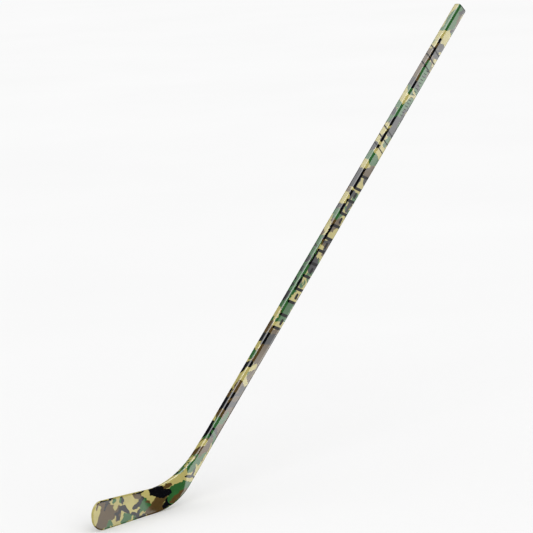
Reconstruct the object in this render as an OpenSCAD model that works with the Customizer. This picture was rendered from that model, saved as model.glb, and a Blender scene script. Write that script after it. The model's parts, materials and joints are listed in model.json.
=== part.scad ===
// Ice hockey stick in playing position: a laminated hollow shaft with a bonded, curved blade.
// Millimetres, +Z up, ice at z = 0. The origin is the heel point, where the line of the shaft's
// back edge meets the ice. The shaft rises towards +X and the toe points towards -X. The forehand
// face looks towards -Y and the backhand face towards +Y.

/* [Stick] */
// Length from the butt end to the heel point, along the shaft
stick_length = 1440; // [1300:10:1600]
// Angle of the shaft above the ice (lie 5 is 45 degrees)
shaft_angle = 45; // [42:1:48]

/* [Shaft] */
// Width of the wide faces
shaft_width = 30; // [28:0.5:32]
// Thickness from forehand face to backhand face
shaft_thickness = 20; // [18:0.5:22]
// Radius of the four long corners
corner_radius = 5; // [3:0.25:5]
// Width at the hosel, after the taper
hosel_width = 28; // [26:0.5:30]
// Thickness at the hosel, after the taper
hosel_thickness = 18.6; // [17:0.2:20]
// Length of the tapered stretch above the blade joint
taper_length = 420; // [200:10:600]
// Width of the raised grip texture on each narrow face
grip_width = 8; // [6:0.5:8.5]

/* [Blade] */
// Distance from the heel point to the end of the toe
blade_reach = 245; // [225:1:270]
// Height of the blade behind the heel bend
heel_height = 57.5; // [52:0.5:62]
// Height of the blade at the toe
toe_height = 67.5; // [60:0.5:75]
// Thickness of the blade at the toe
blade_thickness = 5.6; // [5:0.2:8]
// Radius of the sole's bend into the back edge of the shaft
heel_radius = 142; // [120:1:160]
// Radius of the top edge's bend into the front edge of the shaft
throat_radius = 211; // [180:1:230]
// Length of the rounded toe
toe_length = 30; // [24:1:45]
// How far the toe's tip sits below the middle of the blade
toe_drop = 3; // [0:0.5:5]
// Radius of the sole's rocker towards the toe
rocker_radius = 2100; // [1500:50:6000]
// Sideways depth of the curve at the toe
curve_depth = 14; // [0:0.5:20]
// Opening of the face at the toe, in degrees
face_twist = 4; // [0:0.5:8]

/* [Laminate] */
// Printed camouflage film over the whole stick
film = 0.2; // [0.15:0.05:0.3]
// Outer carbon wrap of the shaft, and face skins of the blade
outer_ply = 0.8; // [0.6:0.1:1]
// Stiffening plies inside the outer wrap
middle_ply = 0.5; // [0.3:0.1:0.7]
// Inner carbon wrap round the hollow
inner_ply = 0.7; // [0.5:0.1:1]
// Height of the raised grip texture
grip_height = 0.25; // [0.15:0.05:0.4]
// Width of the edge band round the blade
edge_band = 4; // [4:0.25:6]
// Thickness of the stringer between the foam cores
stringer = 2; // [1.5:0.25:3]

/* [Joints] */
// Distance of the blade joint from the heel point, along the shaft
joint_height = 185; // [175:5:220]
// Length of the blade's tenon inside the shaft
tenon_length = 65; // [50:5:75]
// Adhesive round the tenon
adhesive = 0.2; // [0.1:0.05:0.3]
// Bond line between the shaft's lower end and the blade
bond_line = 0.05; // [0.02:0.01:0.1]
// Length of the damping foam above the tenon
foam_length = 150; // [80:10:250]
// Height of the butt cap's visible lid
lid_height = 7; // [6:0.5:12]
// Radius of the lid's rounded rim
lid_radius = 4; // [2:0.5:5]
// Length of the cap's tongue inside the shaft
tongue_length = 60; // [40:5:80]
// Wall of the hollow tongue
tongue_wall = 2; // [1.5:0.25:3]
// Gap round the tongue, and under the lid
slide_gap = 0.05; // [0.02:0.01:0.09]

/* [Hidden] */

// Depths of the layers below the outer surface
skin_depth = film + outer_ply;
ply_depth = skin_depth + middle_ply;
bore_depth = ply_depth + inner_ply;

// Lengths and shares that finish the shape
tenon_to_taper = 10;      // straight stretch between the tenon and the taper
joint_to_grip = 15;       // bare stretch between the joint and the grip texture
grip_to_cap = 12;         // bare stretch between the grip texture and the butt cap
hosel_run_on = 30;        // travel past the bend's start at which the hosel starts to thin
thinning_length = 145;    // travel over which the hosel thins to the blade
curve_start = 20;         // reach at which the sideways curve begins
rocker_share = 0.55;      // share of the reach at which the rocker begins
toe_turn = 88;            // angle of the toe's ellipse at its last section
toe_spacing = 1.6;        // crowds the toe's sections towards its tip
corner_share = 0.49;      // largest corner, as a share of the thickness
toe_corner_share = 0.98;  // largest corner at the toe, as a share of the half size
band_shares = [0.5, 0.75];  // least and most of the flat face that lies inside the edge bands
stringer_share = 0.3;     // largest half height of the stringer, as a share of the flat face

// Numbers of steps along the blade and round each corner
hosel_steps = 2;
bend_steps = 12;
blade_steps = 9;
toe_steps = 10;
corner_steps = 4;

// Stations are counted from the blade joint to the tip of the toe
joint_station = 0;
core_station = hosel_steps + 5;                       // where the foam cores begin
toe_start = hosel_steps + bend_steps + blade_steps;   // where the rounded toe begins
last_station = toe_start + toe_steps;

// Directions in the upright plane, as [x, z]
up = [cos(shaft_angle), sin(shaft_angle)];            // up the shaft
across = [-sin(shaft_angle), cos(shaft_angle)];       // from the back edge to the front edge

// The two bends: distances along the shaft, corner points and arc centres
heel_tangent = heel_radius * tan(shaft_angle / 2);
throat_tangent = throat_radius * tan(shaft_angle / 2);
throat_corner_height = (heel_height - hosel_width * across.y) / up.y;
throat_corner = across * hosel_width + up * throat_corner_height;
heel_centre = up * heel_tangent + across * heel_radius;
throat_centre = throat_corner + up * throat_tangent + across * throat_radius;
bend_length = PI * shaft_angle / 180 * (heel_radius + throat_radius) / 2;
sole_start = -heel_tangent;
top_start = throat_corner.x - throat_tangent;
rocker_start = rocker_share * blade_reach;

// Heights along the shaft, measured from the heel point
tube_base = joint_height + bond_line;
tenon_top = tube_base + tenon_length;
taper_start = tenon_top + tenon_to_taper;
foam_top = tenon_top + foam_length;
taper_end = taper_start + taper_length;
butt_seat = stick_length - lid_height;
grip_start = joint_height + joint_to_grip;
grip_end = butt_seat - grip_to_cap;
tube_heights = [butt_seat, taper_end, foam_top, taper_start, tenon_top, tube_base];

function mix(a, b, k) = a + (b - a) * k;
function clamp01(k) = min(1, max(0, k));
function ease(k) = (1 - cos(180 * clamp01(k))) / 2;
function heading(angle) = [cos(angle), sin(angle)];

// Sideways curve and twist grow with distance towards the toe
function reach_share(x) = clamp01((-x - curve_start) / (blade_reach - curve_start));
function curve_at(x) = -curve_depth * pow(reach_share(x), 2);
function twist_at(x) = face_twist * reach_share(x);

// Blade thickness falls smoothly from the hosel to the blade through the bend
function thickness_at(travel) =
    mix(hosel_thickness, blade_thickness, ease((travel - hosel_run_on) / thinning_length));

// Outline heights of the sole and the top edge
function sole_z(x) = pow(max(0, -x - rocker_start), 2) / (2 * rocker_radius);
function top_z(x) = mix(heel_height, toe_height, clamp01((top_start - x) / (blade_reach + top_start)));

// A station is one flat cross-section of the stick at a depth below its outer surface:
// [lower point, upper point, half height, half thickness, corner radius, sideways shift, twist]
function station(low, high, thickness, depth) =
    let (
        half_height = norm(high - low) / 2 - depth,
        corner = min(corner_radius, corner_share * thickness) - depth,
        x = (low.x + high.x) / 2
    )
    [low, high, half_height, thickness / 2 - depth, corner, curve_at(x), twist_at(x)];

// The shaft's stations lie in its own frame, upright on the Z axis. Its front edge looks to -X.
function shaft_station(s, depth) =
    let (
        k = clamp01((s - taper_start) / taper_length),
        half_width = mix(hosel_width, shaft_width, k) / 2,
        thickness = mix(hosel_thickness, shaft_thickness, k)
    )
    [[half_width, s], [-half_width, s], half_width - depth,
     thickness / 2 - depth, corner_radius - depth, 0, 0];
module lean() {
    translate([across.x * hosel_width / 2, 0, across.y * hosel_width / 2])
    rotate([0, 90 - shaft_angle, 0])
    children();
}

// Straight hosel between the joint and the start of the bend
function hosel_station(k, depth) = station(
    up * mix(joint_height, heel_tangent, k),
    across * hosel_width + up * mix(joint_height, throat_corner_height + throat_tangent, k),
    hosel_thickness, depth);

function bend_station(k, depth) =
    let (angle = -90 + shaft_angle * (1 - k))
    station(heel_centre + heel_radius * heading(angle),
            throat_centre + throat_radius * heading(angle),
            thickness_at(bend_length * k), depth);

function blade_station(k, depth) =
    let (
        toe_x = toe_length - blade_reach,
        low_x = mix(sole_start, toe_x, k),
        high_x = mix(top_start, toe_x, k)
    )
    station([low_x, sole_z(low_x)], [high_x, top_z(high_x)],
            thickness_at(bend_length + sole_start - low_x), depth);

// Rounded toe: an ellipse in outline, with a half-round edge in thickness
function toe_station(k, depth) =
    let (
        angle = toe_turn * (1 - pow(1 - k, toe_spacing)),
        x = toe_length - blade_reach - (toe_length - depth) * sin(angle),
        tip_gap = (toe_length - depth) * (1 - sin(angle)),
        half = (top_z(x) - sole_z(x)) / 2,
        middle_z = (top_z(x) + sole_z(x)) / 2 - toe_drop * (1 - cos(angle)),
        half_height = (half - depth) * cos(angle),
        flat_half = blade_thickness / 2 - depth,
        edge = min(1, tip_gap / flat_half),
        half_thick = flat_half * sqrt(1 - pow(1 - edge, 2)),
        corner = min(corner_share * blade_thickness - depth, toe_corner_share * half_thick,
                     toe_corner_share * half_height)
    )
    [[x, middle_z - half], [x, middle_z + half], half_height, half_thick, corner,
     curve_at(x), twist_at(x)];

function any_station(i, depth) =
    i < hosel_steps ? hosel_station(i / hosel_steps, depth) :
    i < hosel_steps + bend_steps ? bend_station((i - hosel_steps) / bend_steps, depth) :
    i < toe_start ? blade_station((i - hosel_steps - bend_steps) / blade_steps, depth) :
    toe_station((i - toe_start) / toe_steps, depth);

// Places one point of a section: v runs from the lower edge to the upper, w from forehand to backhand
function place(st, v, w) =
    let (
        along = (st[1] - st[0]) / norm(st[1] - st[0]),
        tv = v * cos(st[6]) - w * sin(st[6]),
        tw = v * sin(st[6]) + w * cos(st[6]),
        upright = (st[0] + st[1]) / 2 + along * tv
    )
    [upright.x, st[5] + tw, upright.y];

// Heights on the flat faces where the edge bands and the stringer begin
function flat_end(st) = st[2] - st[4];
function band_edge(st) = max(band_shares[0] * flat_end(st),
    min(norm(st[1] - st[0]) / 2 - edge_band, band_shares[1] * flat_end(st)));
function stringer_edge(st) = min(stringer / 2, stringer_share * flat_end(st));
function face_heights(st) = [
    -flat_end(st), -band_edge(st), -stringer_edge(st), stringer_edge(st), band_edge(st), flat_end(st)
];

// Section ring: forehand face upwards, top edge, backhand face downwards, lower edge
function corner_arc(st, side_v, side_w, first_angle) = [
    for (j = [1 : corner_steps])
        let (angle = first_angle + 90 * j / corner_steps)
        place(st, side_v * flat_end(st) + st[4] * cos(angle),
              side_w * (st[3] - st[4]) + st[4] * sin(angle))
];
function ring(st) = concat(
    [for (v = face_heights(st)) place(st, v, -st[3])],
    corner_arc(st, 1, -1, -90),
    [place(st, st[2], st[3] - st[4])],
    corner_arc(st, 1, 1, 0),
    [for (j = [face_top - 1 : -1 : 0]) place(st, face_heights(st)[j], st[3])],
    corner_arc(st, -1, 1, 90),
    [place(st, -st[2], -(st[3] - st[4]))],
    [for (p = [0 : corner_steps - 2]) corner_arc(st, -1, -1, 180)[p]]
);
// Places on the ring: the forehand face runs from 0 to face_top, the backhand from back_top to back_low
face_top = 5;
ring_size = 2 * (face_top + 1) + 4 * corner_steps;
back_top = face_top + 1 + 2 * corner_steps;
back_low = back_top + face_top;

// Rings of the blade from one station to another, and of the shaft at given heights
function blade_rings(first, last, depth) = [for (i = [first : last]) ring(any_station(i, depth))];
function shaft_rings(heights, depth) = [for (s = heights) ring(shaft_station(s, depth))];

// Splits a four-sided patch along one diagonal, chosen the same way from either side of it
tie_break = 1e-6 * [1, 0.7, 0.3];
function diagonal_key(p, q) = (p - q) * (p - q) + (p + q) * tie_break;
function patch(points, a, b, c, d) =
    diagonal_key(points[a], points[c]) < diagonal_key(points[b], points[d])
    ? [[a, b, c], [a, c, d]] : [[a, b, d], [b, c, d]];
function joined(lists) = [for (l = lists) each l];
function side_faces(points, rows, size, offset, flip) = joined([
    for (i = [0 : rows - 2], k = [0 : size - 1])
        let (
            a = offset + i * size + k,
            b = offset + i * size + (k + 1) % size,
            c = b + size,
            d = a + size
        )
        flip ? patch(points, d, c, b, a) : patch(points, a, b, c, d)
]);

// Closes a section by pairing its points from the first and the last inwards
function cap_faces(points, size, offset, flip) = joined([
    for (k = [0 : size / 2 - 2])
        let (
            a = offset + k,
            b = a + 1,
            c = offset + size - 2 - k,
            d = c + 1
        )
        flip ? patch(points, d, c, b, a) : patch(points, a, b, c, d)
]);

// A solid that runs through a list of closed sections
module solid_loft(sections) {
    rows = len(sections);
    size = len(sections[0]);
    points = joined(sections);
    polyhedron(points, concat(
        side_faces(points, rows, size, 0, false),
        cap_faces(points, size, 0, true),
        cap_faces(points, size, (rows - 1) * size, false)
    ), convexity = 6);
}

// A hollow solid between two lists of sections. Its first end is open, and its last end is open
// or closed.
module hollow_loft(outer, inner, closed_end = false) {
    rows = len(outer);
    size = len(outer[0]);
    shift = rows * size;
    points = concat(joined(outer), joined(inner));
    end = (rows - 1) * size;
    start_rim = joined([for (k = [0 : size - 1])
        let (n = (k + 1) % size)
        patch(points, n, k, shift + k, shift + n)]);
    end_rim = joined([for (k = [0 : size - 1])
        let (n = (k + 1) % size)
        patch(points, end + k, end + n, shift + end + n, shift + end + k)]);
    end_caps = concat(cap_faces(points, size, end, false), cap_faces(points, size, shift + end, true));
    polyhedron(points, concat(
        side_faces(points, rows, size, 0, false),
        side_faces(points, rows, size, shift, true),
        start_rim,
        closed_end ? end_caps : end_rim
    ), convexity = 10);
}

// A panel between two depths, over a stretch of the section ring
module panel(outer, inner, picks) {
    turned = [for (j = [len(picks) - 1 : -1 : 0]) picks[j]];
    sections = [for (i = [0 : len(outer) - 1])
        concat([for (p = picks) outer[i][p]], [for (p = turned) inner[i][p]])];
    solid_loft(sections);
}

module shaft_camo_film() {
    color([0.48, 0.47, 0.28])
    lean() hollow_loft(shaft_rings(tube_heights, 0), shaft_rings(tube_heights, film));
}

module shaft_outer_wrap() {
    color([0.12, 0.12, 0.13])
    lean() hollow_loft(shaft_rings(tube_heights, film), shaft_rings(tube_heights, skin_depth));
}

module shaft_inner_wrap() {
    color([0.16, 0.16, 0.17])
    lean() hollow_loft(shaft_rings(tube_heights, ply_depth), shaft_rings(tube_heights, bore_depth));
}

// One of the four strips between the two wraps
module shaft_ply(first, last) {
    picks = [for (k = [first : last]) k % ring_size];
    color([0.22, 0.22, 0.22])
    lean() panel(shaft_rings(tube_heights, skin_depth), shaft_rings(tube_heights, ply_depth), picks);
}

module forehand_stiffening_ply() {
    shaft_ply(0, face_top);
}

module toe_side_ply() {
    shaft_ply(face_top, back_top);
}

module backhand_stiffening_ply() {
    shaft_ply(back_top, back_low);
}

module heel_side_ply() {
    shaft_ply(back_low, ring_size);
}

// Raised texture band on one narrow face: side is 1 for the toe side and -1 for the heel side
module grip_texture(side) {
    low = grip_width / 2;
    outline = [[0, -low], [grip_height, -low], [grip_height, low], [0, low]];
    sections = [for (s = [grip_end, taper_end, taper_start, grip_start])
        let (st = shaft_station(s, 0))
        [for (p = outline) place(st, side * (st[2] + p.x), side * p.y)]];
    color([0.44, 0.43, 0.27])
    lean() solid_loft(sections);
}

module toe_side_grip_texture() {
    grip_texture(1);
}

module heel_side_grip_texture() {
    grip_texture(-1);
}

module shaft_damping_foam() {
    color([0.86, 0.82, 0.66])
    lean() solid_loft(shaft_rings([foam_top, taper_start, tenon_top], bore_depth));
}

module tenon_adhesive() {
    heights = [tenon_top, tube_base];
    color([0.7, 0.6, 0.35])
    lean() hollow_loft(shaft_rings(heights, bore_depth), shaft_rings(heights, bore_depth + adhesive));
}

module blade_tenon() {
    color([0.18, 0.18, 0.18])
    lean() solid_loft(shaft_rings([tenon_top, tube_base], bore_depth + adhesive));
}

module blade_camo_film() {
    color([0.48, 0.47, 0.28])
    hollow_loft(
        blade_rings(joint_station, last_station, 0),
        blade_rings(joint_station, last_station, film),
        closed_end = true
    );
}

module blade_skin(first, last) {
    picks = [for (k = [first : last]) k];
    color([0.15, 0.15, 0.16])
    panel(blade_rings(joint_station, toe_start, film),
          blade_rings(joint_station, toe_start, skin_depth), picks);
}

module forehand_skin() {
    blade_skin(1, face_top - 1);
}

module backhand_skin() {
    blade_skin(back_top + 1, back_low - 1);
}

// Edge bands follow the outline. Their inner side meets both skins and the cores.
module edge_bar(first, last) {
    outer = blade_rings(joint_station, toe_start, film);
    inner = blade_rings(joint_station, toe_start, skin_depth);
    sections = [for (i = [0 : len(outer) - 1])
        concat([for (k = [first : last]) outer[i][k % ring_size]],
               [inner[i][last % ring_size], inner[i][first % ring_size]])];
    color([0.22, 0.2, 0.16])
    solid_loft(sections);
}

module top_edge_band() {
    edge_bar(face_top - 1, back_top + 1);
}

module sole_edge_band() {
    edge_bar(back_low - 1, ring_size + 1);
}

module toe_insert() {
    color([0.2, 0.19, 0.17])
    solid_loft(blade_rings(toe_start, last_station, film));
}

// A core fills the space between the skins, between two heights of the blade's faces
module core(low, high, first, last) {
    rings = blade_rings(first, last, skin_depth);
    sections = [for (r = rings)
        concat([for (k = [low : high]) r[k]], [for (k = [high : -1 : low]) r[back_low - k]])];
    solid_loft(sections);
}

module hosel_core() {
    color([0.55, 0.5, 0.4])
    core(1, 4, joint_station, core_station);
}

module lower_foam_core() {
    color([0.9, 0.86, 0.7])
    core(1, 2, core_station, toe_start);
}

module blade_stringer() {
    color([0.25, 0.25, 0.25])
    core(2, 3, core_station, toe_start);
}

module upper_foam_core() {
    color([0.9, 0.86, 0.7])
    core(3, 4, core_station, toe_start);
}

// Section of the lid: its corners keep a small radius as the rim rounds over
function lid_station(s, inset) =
    let (st = shaft_station(s, inset))
    [st[0], st[1], st[2], st[3], max(corner_radius - inset / 2, 1), 0, 0];

// Moulded end cap: a rounded lid on a hollow tongue that slides into the shaft
module butt_cap() {
    rim_steps = 6;
    lid_base = butt_seat + slide_gap;
    tongue_end = lid_base - tongue_length;
    tongue_depth = bore_depth + slide_gap;
    rim = [for (j = [rim_steps : -1 : 0])
        let (angle = 90 * j / rim_steps)
        ring(lid_station(stick_length - lid_radius * (1 - sin(angle)), lid_radius * (1 - cos(angle))))];
    color([0.3, 0.34, 0.22])
    lean() solid_loft(concat(
        rim,
        shaft_rings([lid_base], 0),
        shaft_rings([lid_base, tongue_end], tongue_depth),
        shaft_rings([tongue_end, lid_base], tongue_depth + tongue_wall)
    ));
}

shaft_camo_film();
shaft_outer_wrap();
forehand_stiffening_ply();
backhand_stiffening_ply();
toe_side_ply();
heel_side_ply();
shaft_inner_wrap();
toe_side_grip_texture();
heel_side_grip_texture();
shaft_damping_foam();
blade_tenon();
tenon_adhesive();
blade_camo_film();
hosel_core();
forehand_skin();
backhand_skin();
sole_edge_band();
top_edge_band();
toe_insert();
lower_foam_core();
upper_foam_core();
blade_stringer();
butt_cap();
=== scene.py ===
"""Looks of an ice hockey stick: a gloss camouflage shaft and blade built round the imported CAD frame.

Shapes and the print are worked out in millimetres and turned into metres when a mesh is made.
"""

import json
import math
import random

import bpy
import numpy as np
from mathutils import Matrix, Vector


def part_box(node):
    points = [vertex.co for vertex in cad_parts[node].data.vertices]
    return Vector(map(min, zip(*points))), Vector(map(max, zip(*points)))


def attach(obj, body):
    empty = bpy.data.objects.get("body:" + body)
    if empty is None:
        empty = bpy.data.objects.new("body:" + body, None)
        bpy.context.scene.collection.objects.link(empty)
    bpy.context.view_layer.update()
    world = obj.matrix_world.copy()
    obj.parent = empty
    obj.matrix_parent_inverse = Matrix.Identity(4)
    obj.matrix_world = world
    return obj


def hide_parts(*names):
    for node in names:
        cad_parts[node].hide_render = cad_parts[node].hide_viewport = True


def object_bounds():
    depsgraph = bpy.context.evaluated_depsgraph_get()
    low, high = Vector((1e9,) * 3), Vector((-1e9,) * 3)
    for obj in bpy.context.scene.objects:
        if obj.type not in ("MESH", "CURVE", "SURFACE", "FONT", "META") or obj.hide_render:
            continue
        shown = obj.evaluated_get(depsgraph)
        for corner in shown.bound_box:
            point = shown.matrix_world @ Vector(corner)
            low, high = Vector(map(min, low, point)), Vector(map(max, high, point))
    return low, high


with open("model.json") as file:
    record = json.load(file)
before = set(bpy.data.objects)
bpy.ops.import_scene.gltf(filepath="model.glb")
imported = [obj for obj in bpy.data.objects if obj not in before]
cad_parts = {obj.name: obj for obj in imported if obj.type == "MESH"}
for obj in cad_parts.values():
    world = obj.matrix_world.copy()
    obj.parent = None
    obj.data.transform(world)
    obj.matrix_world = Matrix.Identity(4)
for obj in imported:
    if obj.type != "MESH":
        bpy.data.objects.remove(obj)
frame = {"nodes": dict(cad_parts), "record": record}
cad_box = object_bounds()

# ------------------------------------------------------------------ dimensions, in millimetres
MM = 0.001
SHAFT_ANGLE = math.radians(45)
SHAFT_WIDTH = 30.0
SHAFT_THICKNESS = 20.0
HOSEL_WIDTH = 28.0
HOSEL_THICKNESS = 18.6
CORNER_RADIUS = 5.0
TENON_TO_TAPER = 10.0
TAPER_LENGTH = 420.0
BLADE_REACH = 245.0
HEEL_HEIGHT = 57.5
TOE_HEIGHT = 67.5
BLADE_THICKNESS = 5.6
HEEL_RADIUS = 142.0
THROAT_RADIUS = 211.0
TOE_LENGTH = 30.0
TOE_DROP = 3.0
TOE_TURN = math.radians(89.5)
TOE_SPACING = 1.6
ROCKER_RADIUS = 2100.0
ROCKER_SHARE = 0.55
CURVE_DEPTH = 14.0
CURVE_START = 20.0
FACE_TWIST = math.radians(4)
THINNING_START = 30.0
THINNING_LENGTH = 145.0
CORNER_SHARE = 0.49
TOE_CORNER_SHARE = 0.98
FILM = 0.2
BORE_DEPTH = 2.2
BOND_LINE = 0.05
LID_RADIUS = 4.0
SLIDE_GAP = 0.05
TONGUE_LENGTH = 60.0
TONGUE_WALL = 2.0
GRIP_PROUD = 0.25

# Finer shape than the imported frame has
CROWN = 0.12  # fall of the wide faces towards their corners
CROWN_START = 0.7  # share of the half width at which that fall begins
THROAT_COVER = 0.16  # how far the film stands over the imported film's flat facets in the throat
THROAT_EASE = 24  # the cover rises from each end over this share (1 / 24) of the bend
RIB_BASE = 0.02  # rise of the valleys between the ribs
RIB_HEIGHT = 0.07  # rise of the ribs above the valleys
RIB_PITCH = 3.0
RIB_SLANT = math.radians(40)
SHARP_ANGLE = math.radians(55)  # edges that bend more than this are shaded as creases

# Directions in the upright plane, as (x, z): up the shaft, and from its back edge to its front edge
UP = np.array([math.cos(SHAFT_ANGLE), math.sin(SHAFT_ANGLE)])
ACROSS = np.array([-math.sin(SHAFT_ANGLE), math.cos(SHAFT_ANGLE)])
HALF_HOSEL = HOSEL_WIDTH / 2


def shaft_height(corner, across):
    """Distance up the shaft of a box corner that lies that far across from the back edge's line."""
    return (corner.z / MM - ACROSS[1] * across) / UP[1]


# Heights up the shaft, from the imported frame
film_low, film_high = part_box("shaft_camo_film")
grip_low, grip_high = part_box("toe_side_grip_texture")
TUBE_BASE = shaft_height(film_low, 0)
BUTT_SEAT = shaft_height(film_high, HALF_HOSEL + SHAFT_WIDTH / 2)
TAPER_START = shaft_height(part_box("shaft_damping_foam")[0], BORE_DEPTH) + TENON_TO_TAPER
GRIP_START = shaft_height(grip_low, HOSEL_WIDTH)
GRIP_END = shaft_height(grip_high, HALF_HOSEL + SHAFT_WIDTH / 2 + GRIP_PROUD)
GRIP_WIDTH = (grip_high.y - grip_low.y) / MM
BUTT_END = Vector(frame["record"]["mounts"][0]["pos_m"]).dot((UP[0], 0, UP[1])) / MM
TONGUE_END = BUTT_SEAT + SLIDE_GAP - TONGUE_LENGTH
JOINT_HEIGHT = TUBE_BASE - BOND_LINE

# Bends between the shaft's two edges and the blade's sole and top edge
HEEL_TANGENT = HEEL_RADIUS * math.tan(SHAFT_ANGLE / 2)
THROAT_TANGENT = THROAT_RADIUS * math.tan(SHAFT_ANGLE / 2)
THROAT_HEIGHT = (HEEL_HEIGHT - HOSEL_WIDTH * ACROSS[1]) / UP[1]
THROAT_CORNER = ACROSS * HOSEL_WIDTH + UP * THROAT_HEIGHT
HEEL_CENTRE = UP * HEEL_TANGENT + ACROSS * HEEL_RADIUS
THROAT_CENTRE = THROAT_CORNER + UP * THROAT_TANGENT + ACROSS * THROAT_RADIUS
BEND_LENGTH = SHAFT_ANGLE * (HEEL_RADIUS + THROAT_RADIUS) / 2
SOLE_START = -HEEL_TANGENT
TOP_START = THROAT_CORNER[0] - THROAT_TANGENT
ROCKER_START = ROCKER_SHARE * BLADE_REACH


# ------------------------------------------------------------------ sections of the stick
def mix(a, b, k):
    return a + (b - a) * k


def reach_share(x):
    return np.clip((-x - CURVE_START) / (BLADE_REACH - CURVE_START), 0, 1)


def thickness_at(travel):
    ease = (1 - np.cos(math.pi * np.clip((travel - THINNING_START) / THINNING_LENGTH, 0, 1))) / 2
    return mix(HOSEL_THICKNESS, BLADE_THICKNESS, ease)


def sole_z(x):
    return np.maximum(0, -x - ROCKER_START) ** 2 / (2 * ROCKER_RADIUS)


def top_z(x):
    return mix(HEEL_HEIGHT, TOE_HEIGHT, np.clip((TOP_START - x) / (BLADE_REACH + TOP_START), 0, 1))


def column(values, count):
    return np.broadcast_to(np.asarray(values, float), (count,))


class Sections:
    """A run of flat cross-sections, each between a low and a high point of the upright plane."""

    def __init__(self, low, high, half_height, half_thick, corner, curved=True):
        self.count = len(low)
        self.half_height = column(half_height, self.count)
        self.half_thick = column(half_thick, self.count)
        self.corner = column(corner, self.count)
        share = reach_share((low[:, 0] + high[:, 0]) / 2) * curved
        self.shift = -CURVE_DEPTH * share**2
        self.twist = FACE_TWIST * share
        self.middle = (low + high) / 2
        span = high - low
        self.along = span / np.linalg.norm(span, axis=1, keepdims=True)

    def place(self, v, w):
        """World points in mm for heights v and depths w, each with one row per section."""
        cos, sin = np.cos(self.twist)[:, None], np.sin(self.twist)[:, None]
        upright = self.middle[:, None] + self.along[:, None] * (v * cos - w * sin)[..., None]
        sideways = self.shift[:, None] + v * sin + w * cos
        return np.stack([upright[..., 0], sideways, upright[..., 1]], axis=-1)

    def sheet(self, along_edge):
        """Places on the unrolled print, whose middle line is the middle of the forehand face."""
        return self.middle[:, None] + self.along[:, None] * along_edge[..., None]


def plain_sections(low, high, thickness, depth):
    half_height = np.linalg.norm(high - low, axis=1) / 2 - depth
    corner = np.minimum(CORNER_RADIUS, CORNER_SHARE * thickness) - depth
    return Sections(low, high, half_height, thickness / 2 - depth, corner)


def arc_points(centre, radius, angles):
    return centre + radius * np.stack([np.cos(angles), np.sin(angles)], axis=1)


def shaft_sections(heights, depth, corner=None):
    heights = np.asarray(heights, float)
    k = np.clip((heights - TAPER_START) / TAPER_LENGTH, 0, 1)
    half_width = mix(HOSEL_WIDTH, SHAFT_WIDTH, k) / 2
    thickness = mix(HOSEL_THICKNESS, SHAFT_THICKNESS, k)
    back = np.outer(heights, UP) + np.outer(HALF_HOSEL - half_width, ACROSS)
    front = np.outer(heights, UP) + np.outer(HALF_HOSEL + half_width, ACROSS)
    depth = column(depth, len(heights))
    if corner is None:
        corner = CORNER_RADIUS - depth
    return Sections(back, front, half_width - depth, thickness / 2 - depth, corner, curved=False)


def hosel_sections(k, depth):
    low = np.outer(mix(JOINT_HEIGHT, HEEL_TANGENT, k), UP)
    high = ACROSS * HOSEL_WIDTH + np.outer(mix(JOINT_HEIGHT, THROAT_HEIGHT + THROAT_TANGENT, k), UP)
    return plain_sections(low, high, column(HOSEL_THICKNESS, len(k)), depth)


def bend_sections(k, depth):
    angles = -math.pi / 2 + SHAFT_ANGLE * (1 - k)
    cover = THROAT_COVER * np.clip(THROAT_EASE * np.minimum(k, 1 - k), 0, 1)
    low = arc_points(HEEL_CENTRE, HEEL_RADIUS, angles)
    high = arc_points(THROAT_CENTRE, (THROAT_RADIUS - cover)[:, None], angles)
    return plain_sections(low, high, thickness_at(BEND_LENGTH * k), depth)


def blade_sections(k, depth):
    toe_x = TOE_LENGTH - BLADE_REACH
    low_x, high_x = mix(SOLE_START, toe_x, k), mix(TOP_START, toe_x, k)
    low = np.stack([low_x, sole_z(low_x)], axis=1)
    high = np.stack([high_x, top_z(high_x)], axis=1)
    return plain_sections(low, high, thickness_at(BEND_LENGTH + SOLE_START - low_x), depth)


def toe_sections(k, depth):
    """The rounded toe: an ellipse in outline with a half-round edge in thickness."""
    angles = TOE_TURN * (1 - (1 - k) ** TOE_SPACING)
    length = TOE_LENGTH - depth
    x = TOE_LENGTH - BLADE_REACH - length * np.sin(angles)
    half = (top_z(x) - sole_z(x)) / 2
    middle_z = (top_z(x) + sole_z(x)) / 2 - TOE_DROP * (1 - np.cos(angles))
    half_height = (half - depth) * np.cos(angles)
    flat_half = BLADE_THICKNESS / 2 - depth
    edge = np.minimum(1, length * (1 - np.sin(angles)) / flat_half)
    half_thick = flat_half * np.sqrt(1 - (1 - edge) ** 2)
    corner = TOE_CORNER_SHARE * np.minimum(half_thick, half_height)
    corner = np.minimum(CORNER_SHARE * BLADE_THICKNESS - depth, corner)
    low = np.stack([x, middle_z - half], axis=1)
    high = np.stack([x, middle_z + half], axis=1)
    return Sections(low, high, half_height, half_thick, corner)


def blade_run(depth):
    """All the sections of the blade, from the joint to the tip of the toe."""
    stretches = ((hosel_sections, 50), (bend_sections, 90), (blade_sections, 110))
    run = [make(np.arange(steps) / steps, depth) for make, steps in stretches]
    return run + [toe_sections(np.linspace(0, 1, 26), depth)]


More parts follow.
